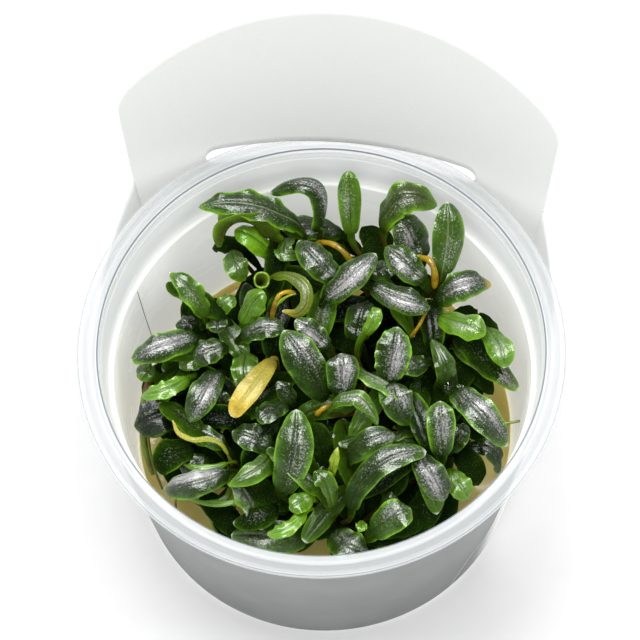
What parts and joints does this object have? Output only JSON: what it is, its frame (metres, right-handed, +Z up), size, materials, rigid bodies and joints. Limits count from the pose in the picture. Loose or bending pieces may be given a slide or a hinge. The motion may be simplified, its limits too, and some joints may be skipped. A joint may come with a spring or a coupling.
{
  "type": "aquarium plant in a growing cup",
  "caption": "Bucephalandra, a bushy plant with oval dark green leaves, in a clear growing cup of nutrient gel with a printed card sleeve and a rounded header.",
  "frame": {"origin": "the middle of the tub's flat base, on its underside", "axes": "+Z up out of the tub's mouth, +Y to the back where the card's header stands up, +X to the right seen from the front"},
  "size_m": [0.08, 0.0812, 0.0817],
  "materials": {
    "tub": "translucent, thin, slightly frosted",
    "card": "white inside and on the header, grey satin print round the band",
    "gel": "cloudy cream gel with a wet surface",
    "rhizome": "smooth, orange brown where it is old",
    "leaf": "glossy and wet, dark green with a grey lilac sheen"
  },
  "bodies": {
    "root": {"cup": "tub", "gel": "gel", "leaf_back_arch": "leaf", "leaf_back_long": "leaf", "leaf_back_right": "leaf", "leaf_big_curl": "leaf", "leaf_bright_tip": "leaf", "leaf_bright_v": "leaf", "leaf_c_leaf": "leaf", "leaf_centre_big": "leaf", "leaf_dark_b": "leaf", "leaf_dark_c": "leaf", "leaf_dark_h": "leaf", "leaf_dark_v": "leaf", "leaf_deep_f": "leaf", "leaf_edge_v": "leaf", "leaf_frill": "leaf", "leaf_front_low": "leaf", "leaf_front_r": "leaf", "leaf_glassy": "leaf", "leaf_grey_b2": "leaf", "leaf_grey_c": "leaf", "leaf_grey_l": "leaf", "leaf_grey_r": "leaf", "leaf_left_big": "leaf", "leaf_left_mid": "leaf", "leaf_lime_r": "leaf", "leaf_lime_round": "leaf", "leaf_long_arch": "leaf", "leaf_olive": "leaf", "leaf_oval": "leaf", "leaf_oval_f": "leaf", "leaf_pale_arch": "leaf", "leaf_purple": "leaf", "leaf_right_big": "leaf", "leaf_right_blue": "leaf", "leaf_right_g1": "leaf", "leaf_right_g2": "leaf", "leaf_right_long": "leaf", "leaf_s_curve": "leaf", "leaf_sheen_1": "leaf", "leaf_sheen_2": "leaf", "leaf_sheen_3": "leaf", "leaf_sheen_4": "leaf", "leaf_sheen_h": "leaf", "leaf_tall": "leaf", "leaf_under_curl": "leaf", "leaf_upright": "leaf", "leaf_white_stripe": "leaf", "leaf_yellow": "leaf", "rhizome_back": "rhizome", "rhizome_back_right": "rhizome", "rhizome_centre": "rhizome", "rhizome_centre_right": "rhizome", "rhizome_front": "rhizome", "rhizome_front_left": "rhizome", "rhizome_front_right": "rhizome", "rhizome_left": "rhizome", "rhizome_right": "rhizome", "sleeve": "card"}
  },
  "joints": []
}
